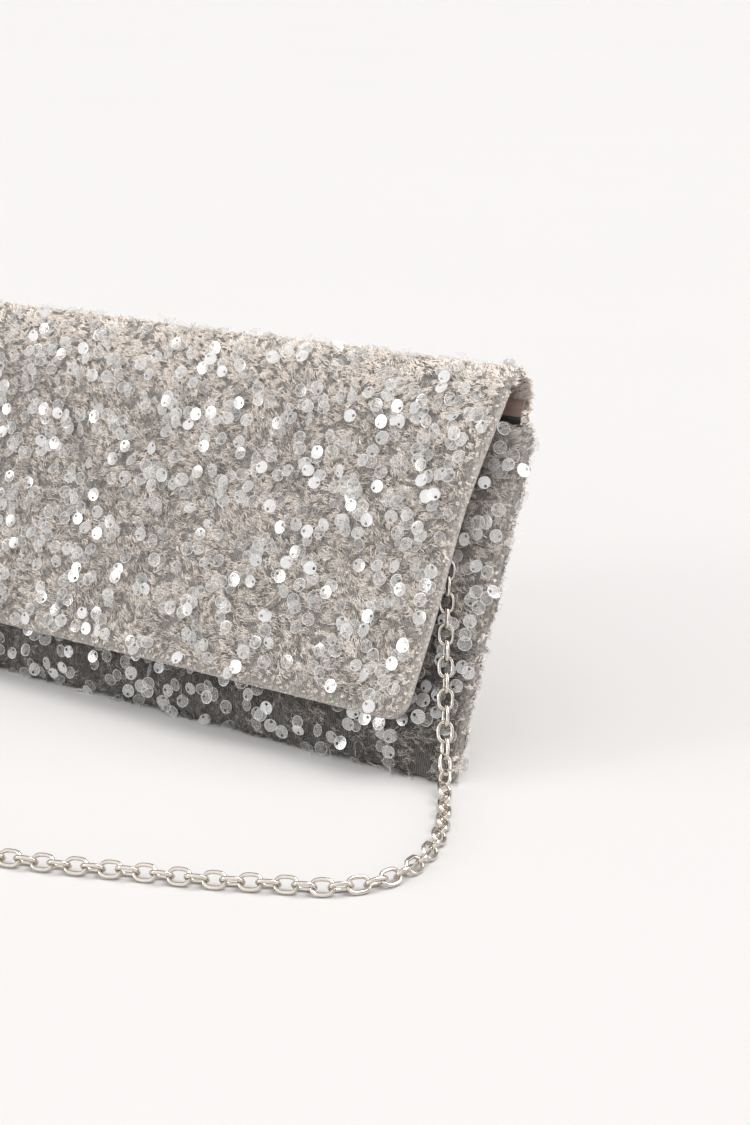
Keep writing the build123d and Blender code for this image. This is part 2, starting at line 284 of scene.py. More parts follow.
def fibre_tones(label, share):
    """Five tones of the same yarn, from the shaded roots to the lit tips."""
    tones = []
    for i, tone in enumerate((0.26, 0.56, 0.88, 1.15, 1.42)):
        material, shader = new_material(
            f"{label}_fibre_{i}", Base_Color=shade(PILE, tone * share), Roughness=0.65,
            Sheen_Weight=0.4, Sheen_Roughness=0.4, Specular_IOR_Level=0.35,
        )
        tones.append(material)
    return tones


def satin():
    """Pinkish-brown satin: a fine diagonal weave, soft streaks along the warp."""
    material, shader = new_material(
        "satin", Roughness=0.36, Sheen_Weight=0.25, Sheen_Roughness=0.3, Specular_IOR_Level=0.6
    )
    streaks = ramp(
        material, object_noise(material, 260, 6, 0.7, (1, 6, 1)),
        (0.3, shade(SATIN, 0.82)), (0.7, shade(SATIN, 1.15)),
    )
    join(material, streaks, shader.inputs["Base Color"])
    place = add_node(material, "TexCoord")
    weave = add_node(material, "TexWave", Scale=900.0, Distortion=0.6, Detail=1.0)
    weave.bands_direction = "DIAGONAL"
    join(material, place.outputs["Object"], weave.inputs["Vector"])
    bumped(material, shader, weave.outputs["Fac"], 0.25, 0.0002)
    return material


def felt():
    material, shader = new_material("stiffening_felt", Roughness=0.95, Specular_IOR_Level=0.1)
    join(
        material,
        ramp(material, object_noise(material, 700, 6), (0.3, (0.30, 0.28, 0.26)), (0.7, (0.46, 0.44, 0.41))),
        shader.inputs["Base Color"],
    )
    bumped(material, shader, object_noise(material, 2200, 3), 0.5, 0.0003)
    return material


def metal(name, colour, roughness):
    """Plated metal with faint wear in its shine."""
    material, shader = new_material(name, Metallic=1.0, Roughness=roughness)
    tint = ramp(
        material, object_noise(material, 500, 5),
        (0.3, shade(colour, 0.88)), (0.7, shade(colour, 1.04)),
    )
    join(material, tint, shader.inputs["Base Color"])
    wear = add_node(
        material, "MapRange", From_Min=0.3, From_Max=0.75, To_Min=roughness * 0.7, To_Max=roughness * 1.7
    )
    join(material, object_noise(material, 1300, 6, 0.7), wear.inputs["Value"])
    join(material, wear.outputs["Result"], shader.inputs["Roughness"])
    bumped(material, shader, object_noise(material, 3000, 2), 0.12, 0.0001)
    return material


def ribbon(name, colour):
    """Narrow grosgrain tape."""
    material, shader = new_material(name, Roughness=0.75, Sheen_Weight=0.3)
    place = add_node(material, "TexCoord")
    ribs = add_node(material, "TexWave", Scale=500.0, Distortion=0.3)
    ribs.bands_direction = "Z"
    join(material, place.outputs["Object"], ribs.inputs["Vector"])
    join(
        material,
        ramp(material, ribs.outputs["Fac"], (0.1, shade(colour, 0.55)), (0.8, colour)),
        shader.inputs["Base Color"],
    )
    bumped(material, shader, ribs.outputs["Fac"], 0.5, 0.0003)
    return material


def sequin_film(name, tint, alpha, roughness, metallic):
    """Frosted clear film."""
    material, shader = new_material(
        name, Base_Color=tint, Roughness=roughness, Metallic=metallic, Alpha=alpha,
        Specular_IOR_Level=0.8, Coat_Weight=0.5, Coat_Roughness=0.08,
    )
    return material


GROUND = pile_ground()
# Lit and shaded copies of the pile's tones: the shaded copy, at 0.62 of the brightness, is painted shade for
# the front's pile under the flap.
LIT_FIBRES = fibre_tones("lit", 1.0)
SHADED_FIBRES = fibre_tones("shaded", 0.62)
SATIN_CLOTH = satin()
FELT = felt()
NICKEL = metal("nickel_plate", (0.72, 0.665, 0.60), 0.14)
STEEL = metal("magnet_steel", (0.42, 0.41, 0.40), 0.35)
GROSGRAIN = ribbon("grosgrain", shade(PILE, 0.75))
# Near-black cloth for a band inside the mouth: painted shade for the deep inside of the bag.
MOUTH_SHADE_CLOTH = ribbon("mouth_shade_band", (0.03, 0.027, 0.025))
FILMS = [
    sequin_film("sequin_clear", (0.86, 0.855, 0.85), 0.12, 0.14, 0.40),
    sequin_film("sequin_frosted", (0.89, 0.885, 0.88), 0.25, 0.17, 0.34),
    sequin_film("sequin_pearl", (0.94, 0.94, 0.95), 0.52, 0.16, 0.30),
]
SEQUIN_RIM = sequin_film("sequin_rim", (0.93, 0.93, 0.93), 0.32, 0.22, 0.30)

# ---- the shoulder chain ----
LINK_LONG, LINK_WIDE, LINK_WIRE = 8.2, 6.2, 1.35
LINK_PITCH = LINK_LONG - 2 * LINK_WIRE
FLOOR_Z = 2.6                # the links' middle, where the chain lies on the floor
CHAIN_ON_BAG = (             # (x, w, v) down an end of the bag, from the jump ring to the corner
    (112.0, 6.4, 105.85),
    (112.0, 7.0, 95.0),
    (112.4, 7.2, 84.0),
    (115.1, 7.2, 72.5),
    (117.7, 7.0, 60.5),
    (121.2, 6.3, 45.0),
    (125.0, 5.4, 28.6),
    (128.3, 4.2, 12.3),
)
CHAIN_FROM_CORNER = ((132.3, -5.2, 5.4), (137.2, -13.2, FLOOR_Z))
CHAIN_ON_FLOOR = (           # (x, y) from the right corner, forward and round to the coil
    (144.5, -25.0),
    (152.0, -40.0),
    (156.3, -58.0),
    (154.0, -74.5),
    (143.5, -87.5),
    (127.5, -94.0),
    (109.0, -103.5),
    (89.0, -110.5),
    (67.5, -119.5),
    (44.0, -127.5),
    (18.0, -134.0),
    (-9.0, -137.0),
    (-33.0, -136.8),
    (-51.0, -134.8),
)
COIL_X, COIL_Y = -65.0, -92.0
COIL_OUTER, COIL_INNER, COIL_TURNS = 39.5, 26.0, 2.25
COIL_STEPS = 14              # points in each turn
COIL_EXIT = (                # up, over the outer turns and down again
    (-92.4, -84.5, 5.0),
    (-96.5, -79.0, 9.4),
    (-103.0, -75.6, 9.4),
    (-109.5, -71.5, 4.4),
)
CHAIN_TO_LEFT = ((-117.0, -62.0), (-131.0, -53.0), (-142.0, -41.0), (-144.0, -25.5))


def coil_points():
    """Clockwise from the coil's south side, in to its inner turn."""
    steps = int(COIL_TURNS * COIL_STEPS)
    points = []
    for i in range(steps + 1):
        share = i / steps
        angle = -math.pi / 2 - share * COIL_TURNS * 2 * math.pi
        radius = COIL_OUTER + (COIL_INNER - COIL_OUTER) * share
        points.append((COIL_X + radius * math.cos(angle), COIL_Y + radius * math.sin(angle), FLOOR_Z))
    return points


def chain_route():
    bag = [tuple(leaning(*place)) for place in CHAIN_ON_BAG]
    right = bag + list(CHAIN_FROM_CORNER) + [(x, y, FLOOR_Z) for x, y in CHAIN_ON_FLOOR]
    left_end = [(-x, y, z) for x, y, z in reversed(bag + list(CHAIN_FROM_CORNER))]
    return right + coil_points() + list(COIL_EXIT) + [(x, y, FLOOR_Z) for x, y in CHAIN_TO_LEFT] + left_end


def smooth_line(points):
    """Points read from the NURBS spline whose control points are given, in millimetres."""
    curve = bpy.data.curves.new("route", "CURVE")
    curve.dimensions = "3D"
    spline = curve.splines.new("NURBS")
    spline.points.add(len(points) - 1)
    for spot, place in zip(spline.points, points):
        spot.co = (*(c * MM for c in place), 1.0)
    spline.order_u = 3
    spline.use_endpoint_u = True
    spline.resolution_u = 16
    holder = bpy.data.objects.new("route", curve)
    bpy.context.scene.collection.objects.link(holder)
    bpy.context.view_layer.update()
    mesh = bpy.data.meshes.new_from_object(holder.evaluated_get(bpy.context.evaluated_depsgraph_get()))
    line = np.array([v.co for v in mesh.vertices]) / MM
    bpy.data.objects.remove(holder)
    bpy.data.meshes.remove(mesh)
    return line


def link_shape(around=30, section=10):
    """One oval link's points and faces, lying flat: its length along X and its width along Y."""
    reach = (LINK_LONG - LINK_WIRE) / 2
    bend = (LINK_WIDE - LINK_WIRE) / 2
    straight = reach - bend
    turn = np.linspace(0, 2 * math.pi, around, endpoint=False)
    centre = np.stack(
        [bend * np.cos(turn) + straight * np.tanh(4 * np.cos(turn)), bend * np.sin(turn), 0 * turn], -1
    )
    outward = unit(np.stack([np.cos(turn), np.sin(turn), 0 * turn], -1))
    ring = np.linspace(0, 2 * math.pi, section, endpoint=False)
    points = (
        centre[:, None]
        + LINK_WIRE / 2 * np.cos(ring)[None, :, None] * outward[:, None]
        + LINK_WIRE / 2 * np.sin(ring)[None, :, None] * np.array((0, 0, 1.0))
    )
    i, j = np.meshgrid(np.arange(around), np.arange(section), indexing="ij")
    k, m = (i + 1) % around, (j + 1) % section
    faces = np.stack([i * section + j, k * section + j, k * section + m, i * section + m], -1)
    return points.reshape(-1, 3), faces.reshape(-1, 4)


def make_chain():
    line = smooth_line(chain_route())
    travel = np.concatenate([[0], np.cumsum(np.linalg.norm(np.diff(line, axis=0), axis=1))])
    overlap = LINK_PITCH / 2 - 1.2           # the end links hook this far into the jump rings
    count = int(round((travel[-1] - 2 * overlap) / LINK_PITCH))
    places = np.linspace(overlap, travel[-1] - overlap, count + 1)

    def at(s):
        return np.stack([np.interp(s, travel, line[:, axis]) for axis in range(3)], -1)

    rng = np.random.default_rng(4)
    half = LINK_PITCH / 2
    shape, faces = link_shape()
    points, all_faces = [], []
    for i, s in enumerate(places):
        centre, forward = at(s), unit(at(s + half) - at(s - half))
        rest_on = OUT * ease(centre[2], 6, 22) + np.array((0, 0, 1.0)) * (1 - ease(centre[2], 6, 22))
        side = unit(np.cross(rest_on, forward))
        facing = np.cross(forward, side)
        roll = math.radians((45 if i % 2 else -45) + rng.uniform(-5, 5))
        wide = side * math.cos(roll) + facing * math.sin(roll)
        thick = np.cross(forward, wide)
        points.append(centre + shape[:, :1] * forward + shape[:, 1:2] * wide + shape[:, 2:] * thick)
        all_faces.append(faces + i * len(shape))
    chain = new_mesh("chain", np.concatenate(points), np.concatenate(all_faces), [NICKEL])
    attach(chain, "bag")
    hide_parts("chain_run_right", "chain_run_left", "chain_coil")


make_chain()


# ---- cloth surfaces ----
def across(thickness):
    return thickness / math.cos(LEAN)


def seam_y(z):
    share = np.minimum(z, MOUTH_Z) / MOUTH_Z
    return math.tan(LEAN) * z - 4 * SEAM_BOW * share * (1 - share)


def fullness(x):
    return curve_through(np.abs(x), PINCH_X, PINCH)


def front_y(x, z):
    return seam_y(z) + fullness(x) * (curve_through(z, LEVELS, FRONT_MID) - seam_y(z))


def back_y(x, z):
    end = seam_y(z) + across(SEAM_DEPTH)
    return end + fullness(x) * (curve_through(z, LEVELS, BACK_MID) - end)


def spread(half, step, fine=0.35):
    """Positions from -half to half, closer together at both ends."""
    near = [half - fine * k for k in (0, 1, 2, 3.2, 5, 8)]
    middle = np.linspace(-near[-1], near[-1], int(2 * near[-1] / step) | 1)
    return np.concatenate([-np.array(near[:-1]), middle, near[-2::-1]])


def raised(path, z, inset):
    """A plan path at height z, moved in from the outside by inset."""
    forward = unit(np.gradient(path, axis=0))
    inside = np.stack([-forward[:, 1], forward[:, 0]], -1)
    flat = path + inside * inset
    return np.stack([flat[:, 0], flat[:, 1], np.full(len(flat), z)], -1)


FOOT = ((5.5, 0.35), (4.2, 0.2), (3.0, 0.15), (2.0, 0.4), (1.1, 0.95), (0.45, 1.8), (0.1, 2.8))


def puckered(points, amount, size=17.0, fine=0.3, seed=0):
    """Moves cloth in and out along its normal, as the stitched sequins pull it."""
    normal = grid_frame(points)[2]
    height = amount * lumps(points, size, seed) + fine * lumps(points, 4.5, seed + 1)
    return points + normal * height[..., None]


def front_path(z):
    x = spread(HALF_WIDTH, 2.4)
    return np.stack([x, front_y(x, z)], -1)


def edge_drop(distance, reach, depth):
    """How far a rounded edge falls away, that far from it."""
    share = np.clip(1 - distance / reach, 0, 1)
    return depth * (1 - np.sqrt(np.maximum(0, 1 - share**2)))


# (inset, height) over the mouth's hem, outside and inside
HEM = (
    (0.0, 112.2), (0.15, 113.0), (0.6, 113.8), (1.25, 114.1),
    (1.9, 113.8), (2.4, 113.0), (2.6, 111.0), (2.6, 108.0),
)
HEM_BACK = (
    (1.5, 111.0), (1.5, 111.4), (1.55, 111.6), (1.6, 111.6),
    (1.7, 111.5), (1.75, 111.2), (1.8, 110.2), (1.8, 108.2),
)


def front_grids():
    """The front cloth's outer and inner faces, with its foot turned under and its mouth hemmed."""
    body = [(0.0, z) for z in np.linspace(4.2, 110.5, 46)]
    outer = [raised(front_path(z), z, across(inset)) for inset, z in (*FOOT, *body, *HEM)]
    under = [raised(front_path(z + 1.2), z + 1.2, across(inset + 0.9)) for inset, z in FOOT]
    inner = under + [raised(front_path(z), z, across(SHELL)) for _, z in body]
    inner += [raised(front_path(z), z, across(inset)) for inset, z in HEM_BACK]
    outer, inner = np.stack(outer, 1), np.stack(inner, 1)
    side = HALF_WIDTH - np.abs(outer[..., 0])
    drop = edge_drop(side, 2.0, 1.4)[..., None]
    return outer - grid_frame(outer)[2] * drop, inner


# (x, share of the end's depth) round the back cloth's turn at the right end
END_PATH = ((129.0, 0.1), (130.2, 0.16), (130.9, 0.34), (131.0, 0.55), (130.6, 0.78), (129.5, 0.95))


def back_path(z, v=None):
    """The back's plan line at height z, from the right seam round the ends to the left seam.

    Above the mouth it is given by its place v up the lean.
    """
    narrow = FOLD_HALF + (HALF_WIDTH - FOLD_HALF) * (1 - ease(z, 109, 120))
    depth = across(SEAM_DEPTH) + (across(LAYERS + 0.4) - across(SEAM_DEPTH)) * ease(z, 113, 119)
    x = spread(HALF_WIDTH - 1.6, 2.6)[::-1]
    if v is None:
        y, corner = back_y(x, z), float(seam_y(z) + across(SEAM_DEPTH))
    else:
        corner = float(leaning(0, BACK_W, v)[1])
        y = np.full(len(x), corner)
    right = [(px, corner - (1 - share) * depth) for px, share in END_PATH]
    left = [(-px, py) for px, py in reversed(right)]
    path = np.array(right + list(zip(x, y)) + left)
    return path * (narrow / HALF_WIDTH, 1)


def lean_of(y, z):
    point = np.array((0.0, y, z))
    return float(point @ OUT), float(point @ UP)


BACK_W, BACK_TOP_V = lean_of(BACK_MID[-1], MOUTH_Z)
FOLD_W = BACK_W + FOLD_R


def back_grids():
    """The back cloth's faces, from its foot up to the fold's start."""
    rows = [(0.0, z, None) for z in np.linspace(4.2, MOUTH_Z, 46)]
    rows += [(0.0, float(leaning(0, BACK_W, v)[2]), v) for v in np.linspace(BACK_TOP_V + 1.6, FOLD_V, 5)]
    outer = [raised(back_path(z), z, across(inset)) for inset, z in FOOT]
    outer += [raised(back_path(z, v), z, across(inset)) for inset, z, v in rows]
    outer = np.stack(outer, 1)
    inner = outer - grid_frame(outer)[2] * SHELL
    inner[..., 2] = np.maximum(inner[..., 2], 1.2)
    return outer, inner


def arc_grid(radius, low, high, steps, x):
    """Part of the fold's face, from one angle up to another."""
    rows = []
    for angle in np.radians(np.linspace(low, high, steps)):
        point = leaning(0, FOLD_W + radius * math.cos(angle), FOLD_V + radius * math.sin(angle))
        rows.append(point + ALONG * x[:, None])
    return np.stack(rows, 1)


SPLAY = math.radians(FLAP_SPLAY)
FLAP_OUT = OUT * math.cos(SPLAY) + UP * math.sin(SPLAY)
FLAP_UP = UP * math.cos(SPLAY) - OUT * math.sin(SPLAY)
FLAP_TOP = leaning(0, FOLD_W + FOLD_R * math.cos(SPLAY), FOLD_V + FOLD_R * math.sin(SPLAY))


def flap_half(down, inset=0.0):
    """Half the flap's width, that far down from the fold, with its corners rounded."""
    width = curve_through(down, FLAP_EDGE_DOWN, FLAP_EDGE_HALF) - inset
    into = np.clip(down - (FLAP_LENGTH - inset - FLAP_CORNER_R), 0, FLAP_CORNER_R)
    return width - FLAP_CORNER_R + np.sqrt(np.maximum(0, FLAP_CORNER_R**2 - into**2))


def flap_grid(depth, inset=0.0, wave=1.0):
    """A face of the flap, depth below its outer one, and its distance from the flap's free edge."""
    ends = FLAP_LENGTH - inset - np.array((0, 0.3, 0.8, 1.6, 2.8, 4.4, 6.4))
    down = np.concatenate([ends, np.linspace(FLAP_LENGTH - inset - 9, 0, 44)])
    shares = spread(1.0, 0.02, 0.0028)
    width = flap_half(down, inset)
    x = shares[:, None] * width[None]
    straight = curve_through(down, FLAP_EDGE_DOWN, FLAP_EDGE_HALF)
    edge = np.minimum(straight[None] - np.abs(x), (FLAP_LENGTH - down)[None] + 0 * x)
    corner = np.hypot(
        np.maximum(0, np.abs(x) - (straight - FLAP_CORNER_R)[None]),
        np.maximum(0, down - (FLAP_LENGTH - FLAP_CORNER_R))[None],
    )
    edge = np.clip(np.minimum(edge, np.where(corner > 0, FLAP_CORNER_R - corner, 1e3)), 0, None)
    low = ease(down, 15, 90)[None]
    fine = np.sin(x / 11.0 - 1.1) * ease(down, 60, 105)[None]
    lift = wave * low * (0.55 * np.sin(x / 23 + 0.8) + 0.35 * fine) - depth
    points = FLAP_TOP + ALONG * x[..., None] - FLAP_UP * down[None, :, None] + FLAP_OUT * lift[..., None]
    return points, edge


# ---- the pile ----
class Patch:
    """A stretch of cloth with what grows on it: its points, its frame and its distance from a free edge."""

    def __init__(self, points, edge, cover=None):
        self.points, self.edge = points, edge
        self.along, self.up, self.normal = grid_frame(points)
        a, b = np.diff(points, axis=0)[:, :-1], np.diff(points, axis=1)[:-1]
        share = 1.0 if cover is None else cover[:-1, :-1]
        self.weight = (np.linalg.norm(np.cross(a, b), axis=-1) * share).ravel()

    def pick(self, count, rng):
        """Random places on the patch: point, along, up, normal and edge distance."""
        columns = self.points.shape[1] - 1
        cell = rng.choice(len(self.weight), count, p=self.weight / self.weight.sum())
        i, j = cell // columns, cell % columns
        s, t = rng.random(count), rng.random(count)

        def between(values):
            s_, t_ = (s[:, None], t[:, None]) if values.ndim == 3 else (s, t)
            return (
                (1 - s_) * (1 - t_) * values[i, j] + s_ * (1 - t_) * values[i + 1, j]
                + (1 - s_) * t_ * values[i, j + 1] + s_ * t_ * values[i + 1, j + 1]
            )

        return (
            between(self.points), unit(between(self.along)), unit(between(self.up)),
            unit(between(self.normal)), between(self.edge),
        )


TUFT = 12                    # fibres in a tuft


def top_painted_light(points):
    """Painted light: the pile's tones lighten towards the fold, by up to 1.5 tones."""
    return -1.5 * ease(points[:, 2], 106, 131)


def grow(name, patch, fibres, tones, seed, length=2.7, height=1.15, worn=2.5, shade_at=None):
    """Crushed pile: tufts of fine ribbons that lie over and swirl, short within worn mm of a free edge."""
    rng = np.random.default_rng(seed)
    tufts = fibres // TUFT
    root, along, up, normal, edge = (np.repeat(a, TUFT, axis=0) for a in patch.pick(tufts, rng))
    count = len(root)
    chance = np.repeat(rng.random((tufts, 4)), TUFT, axis=0)
    swirl = 1.1 * lumps(root, 9.0, 3) + 0.6 * lumps(root, 3.2, 4) - 0.2
    heading = swirl + 1.0 * (chance[:, 0] - 0.5) + math.pi * (chance[:, 3] < 0.5)
    turn = heading + rng.normal(0, 0.38, count)
    short = 0.3 + 0.7 * ease(edge, 0.0, worn)
    stray = rng.random(count) < 0.07
    long = length * short * rng.uniform(0.55, 1.25, count) * np.where(stray, 1.2, 1)
    tall = height * short * (0.45 + 0.9 * chance[:, 1]) * rng.uniform(0.5, 1.2, count)
    tall = tall * np.where(stray, 1.9, 1)

    def lay(angle):
        return np.cos(angle)[:, None] * along + np.sin(angle)[:, None] * up

    jitter = 0.85 * short * np.sqrt(rng.random(count))
    spot = rng.uniform(0, 2 * math.pi, count)
    base = root + lay(spot) * jitter[:, None] - normal * 0.15
    gather = root + lay(heading) * long[:, None] + normal * (tall * 0.7)[:, None]
    curl = rng.normal(0, 0.5, count)
    middle = base + lay(turn) * (0.5 * long)[:, None] + normal * tall[:, None]
    tip = base + lay(turn + curl) * long[:, None] + normal * (tall * rng.uniform(0.1, 1.0, count))[:, None]
    tip = tip + (gather - tip) * 0.35
    width = rng.uniform(0.08, 0.17, count) * np.where(stray, 0.6, 1)
    roll = rng.normal(0, 0.5, count)
    side = lay(turn + math.pi / 2) * np.cos(roll)[:, None] + normal * np.sin(roll)[:, None]
    side = side * width[:, None]
    points = np.stack(
        [base - side, base + side, middle - side, middle + side, tip - side * 0.35, tip + side * 0.35], 1
    )
    points[..., 2] = np.maximum(points[..., 2], 0.05)
    start = np.arange(count)[:, None] * 6
    faces = np.stack([start + (0, 1, 3, 2), start + (2, 3, 5, 4)], 1).reshape(-1, 4)
    level = 1.4 + 2.0 * (chance[:, 2] - 0.4) + 1.1 * lumps(root, 7.0, 6) + rng.normal(0, 0.6, count)
    # shade_at moves each fibre's tone by painted shade or painted light.
    if shade_at is not None:
        level = level - shade_at(root)
    level = level + 0.8 * (1 - ease(edge, 0.8, 6))
    # Each fibre's root quad is 1.4 tones darker than its tip quad: painted shade at the roots.
    slots = np.clip(np.round(np.stack([level, level + 1.4], 1)), 0, len(tones) - 1).ravel()
    return new_mesh(name, points.reshape(-1, 3), faces, tones, face_material=slots)


# ---- sequins ----
SEQUIN_R, HOLE_R, HOLE_AT = 2.45, 0.55, 1.35
SEQUIN_THICK = 0.11
SEQUIN_SEGMENTS = 20


def sequin_shape():
    """A round film with an off-centre hole, slightly cupped: points, faces and the rim's faces."""
    turn = np.linspace(0, 2 * math.pi, SEQUIN_SEGMENTS, endpoint=False)
    circle = np.stack([np.cos(turn), np.sin(turn)], -1)
    hole = HOLE_R * circle + (HOLE_AT, 0)
    brim = SEQUIN_R * 0.90 * circle
    rings = [hole, hole + (brim - hole) * 0.5, brim, SEQUIN_R * circle]
    flat = np.stack(rings)
    cup = 0.07 * (np.linalg.norm(flat, axis=-1) / SEQUIN_R) ** 2
    face = np.concatenate([flat, cup[..., None]], -1)
    top, low = face + (0, 0, SEQUIN_THICK / 2), face - (0, 0, SEQUIN_THICK / 2)
    loops = np.concatenate([top, low[::-1]])
    points = loops.reshape(-1, 3)
    rings_count = len(loops)
    faces, is_rim = [], []
    for ring in range(rings_count):
        after = (ring + 1) % rings_count
        for k in range(SEQUIN_SEGMENTS):
            m = (k + 1) % SEQUIN_SEGMENTS
            faces.append((
                ring * SEQUIN_SEGMENTS + k, after * SEQUIN_SEGMENTS + k,
                after * SEQUIN_SEGMENTS + m, ring * SEQUIN_SEGMENTS + m,
            ))
            is_rim.append(ring in (2, 3, 4))
    return points, np.array(faces), np.array(is_rim)


def apart(points, gap):
    """Which points to keep so that none kept is nearer than gap to an earlier one."""
    tree = KDTree(len(points))
    for i, p in enumerate(points):
        tree.insert(p, i)
    tree.balance()
    kept = np.ones(len(points), bool)
    for i, p in enumerate(points):
        if kept[i]:
            for _, j, _ in tree.find_range(p, gap):
                if j > i:
                    kept[j] = False
    return kept


def scatter(name, patch, seed, every=44.0, bare=3.5, tilt=11.5, clear_of=None):
    """Sequins sewn about one to every so many square millimetres, singly and in overlapping pairs."""
    rng = np.random.default_rng(seed)
    singles = int(patch.weight.sum() / every * 1.25)
    root, along, up, normal, edge = patch.pick(singles, rng)
    keep = (edge > bare) & apart(root, 3.6)
    if clear_of is not None:
        keep &= np.linalg.norm(root - clear_of[0], axis=1) > clear_of[1]
    root, along, up, normal = root[keep], along[keep], up[keep], normal[keep]
    paired = rng.random(len(root)) < 0.33
    spin = rng.uniform(0, 2 * math.pi, paired.sum())
    shift = 3.1 * (np.cos(spin)[:, None] * along[paired] + np.sin(spin)[:, None] * up[paired])
    lift = normal[paired] * 0.55
    root = np.concatenate([root, root[paired] + shift + lift])
    along, up, normal = (np.concatenate([a, a[paired]]) for a in (along, up, normal))
    count = len(root)
    lean_x, lean_y = np.radians(rng.normal(0, tilt, (2, count)))
    steep = rng.random(count) < 0.09
    lean_x = np.where(steep, np.radians(rng.uniform(28, 62, count)) * rng.choice((-1, 1), count), lean_x)
    facing = unit(normal + np.tan(lean_x)[:, None] * along + np.tan(lean_y)[:, None] * up)
    turn = rng.uniform(0, 2 * math.pi, count)
    first = np.cos(turn)[:, None] * along + np.sin(turn)[:, None] * up
    first = unit(first - facing * (first * facing).sum(-1, keepdims=True))
    second = np.cross(facing, first)
    sunk = rng.uniform(0.9, 1.9, count) + 1.3 * np.abs(np.sin(lean_x))
    centre = root + normal * sunk[:, None]
    shape, faces, is_rim = sequin_shape()
    size = rng.uniform(0.93, 1.05, count)[:, None, None]
    points = centre[:, None] + size * (
        shape[None, :, :1] * first[:, None]
        + shape[None, :, 1:2] * second[:, None]
        + shape[None, :, 2:] * facing[:, None]
    )
    points[..., 2] = np.maximum(points[..., 2], 0.05)
    all_faces = (np.arange(count)[:, None, None] * len(shape) + faces[None]).reshape(-1, 4)
    kinds = rng.choice(3, count, p=(0.58, 0.33, 0.09))
    slots = np.where(is_rim[None], len(FILMS), kinds[:, None]).ravel()
    films = [*FILMS, SEQUIN_RIM]
    return new_mesh(name, points.reshape(-1, 3), all_faces, films, face_material=slots, smooth=False)


def on_body(piece, body, slot, *nodes):
    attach(piece, body)
    if nodes:
        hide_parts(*nodes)
    return piece


def halves(points, edge, cover=None):
    """A cloth's two halves along its length, each as a patch."""
    middle = points.shape[0] // 2
    for part in (slice(0, middle + 1), slice(middle, None)):
        yield Patch(points[part], edge[part], None if cover is None else cover[part])


# front
SNAP_FRONT = np.array((0.0, front_y(np.array(0.0), SNAP_Z), SNAP_Z))
front_outer, front_inner = front_grids()
front_face = puckered(front_outer, 0.45)
front_edge = np.minimum(HALF_WIDTH - np.abs(front_outer[..., 0]), MOUTH_Z - front_outer[..., 2])
# The front's ground tone carries painted shade: 0.62 against the back's 0.85, and down to 0.24 low down under
# the flap; near the edges it lightens by 0.3.
front_low_shade = 1 - ease(front_outer[..., 2], 28, 75)
front_tone = 0.62 - 0.38 * front_low_shade + 0.3 * (1 - ease(front_edge, 0.5, 5))
front_fabric = shell("front_fabric", front_face, front_inner, GROUND, {"tone": front_tone})
on_body(front_fabric, "bag", "pile_fabric", "front_panel")
HEM_TURNED = 3               # rows of the hem that are turned inside
FOOT_ROWS = 4
front_part = front_face[:, FOOT_ROWS:-HEM_TURNED]
part_edge = HALF_WIDTH - np.abs(front_outer[:, FOOT_ROWS:-HEM_TURNED, 0])


def front_shade(points):
    """How many tones of painted shade the front's pile gets: most low in the middle; up at the ends it turns to
    painted light.
    """
    low = 1 - ease(points[:, 2], 28, 75)
    end = ease(np.abs(points[:, 0]), 85, 126)
    return 2.4 * low * (1 - 0.5 * end) - 1.2 * (1 - low) * end


front_cover = ease(np.linalg.norm(front_part - SNAP_FRONT, axis=-1), 8, 10)
for side, seed, patch in zip(("left", "right"), (21, 22), halves(front_part, part_edge, front_cover)):
    pile = grow(f"front_pile_{side}", patch, 44000, SHADED_FIBRES, seed, shade_at=front_shade)
    on_body(pile, "bag", "pile_fabric")
front_patch = Patch(front_part, part_edge, front_cover)
front_sequins = scatter("front_sequins", front_patch, 31, every=40, bare=1.5, clear_of=(SNAP_FRONT, 12))
on_body(front_sequins, "bag", "clear_sequin")

# back, with both ends
back_outer, back_inner = back_grids()
back_face = puckered(back_outer, 0.5, seed=7)
seam_distance = np.minimum(
    np.linalg.norm(back_outer - back_outer[:1], axis=-1),
    np.linalg.norm(back_outer - back_outer[-1:], axis=-1),
)
back_tone = 0.85 + 0.2 * (1 - ease(seam_distance, 0.4, 3))
on_body(
    shell("back_fabric", back_face, back_inner, GROUND, {"tone": back_tone}),
    "bag", "pile_fabric", "back_panel", "left_side_seam", "right_side_seam",
)
back_part, back_edge = back_face[:, FOOT_ROWS:], seam_distance[:, FOOT_ROWS:]
for side, seed, patch in zip(("right", "left"), (24, 23), halves(back_part, back_edge)):
    on_body(grow(f"back_pile_{side}", patch, 42000, LIT_FIBRES, seed, shade_at=top_painted_light), "bag", "pile_fabric")
on_body(scatter("back_sequins", Patch(back_part, back_edge), 32, every=46, bare=1.0), "bag", "clear_sequin")

# base
base_x = np.linspace(-HALF_WIDTH + 4, HALF_WIDTH - 4, 90)
base_rows = []
for share in np.linspace(1, 0, 14):
    near, far = front_y(base_x, 1.0) + 3.5, back_y(base_x, 1.0) - 3.5
    far = np.maximum(far, near + 0.4)
    base_rows.append(np.stack([base_x, near + (far - near) * share, np.full(len(base_x), 0.3)], -1))
base_face = np.stack(base_rows, 1)


def lifted(points, height):
    return points + (0, 0, height)


base_tone = np.full(base_face.shape[:2], 0.7)
base_fabric = shell("base_fabric", base_face, lifted(base_face, 1.1), GROUND, {"tone": base_tone})
on_body(base_fabric, "bag", "pile_fabric", "base_panel")
base_felt = shell("base_felt", lifted(base_face, 1.5), lifted(base_face, 2.2), FELT)
on_body(base_felt, "bag", "stiffening_board", "base_board")

# fold over the mouth
fold_x = spread(FOLD_HALF, 2.5)
fold_side = (FOLD_HALF - np.abs(fold_x))[:, None]
FOLD_STEPS = 9
TURNED_IN = np.linspace(FOLD_HALF - 5.4, FOLD_HALF - 0.2, 7)       # where the fold's ends are turned inside
CREST, REAR_START = 90.0, 180.0


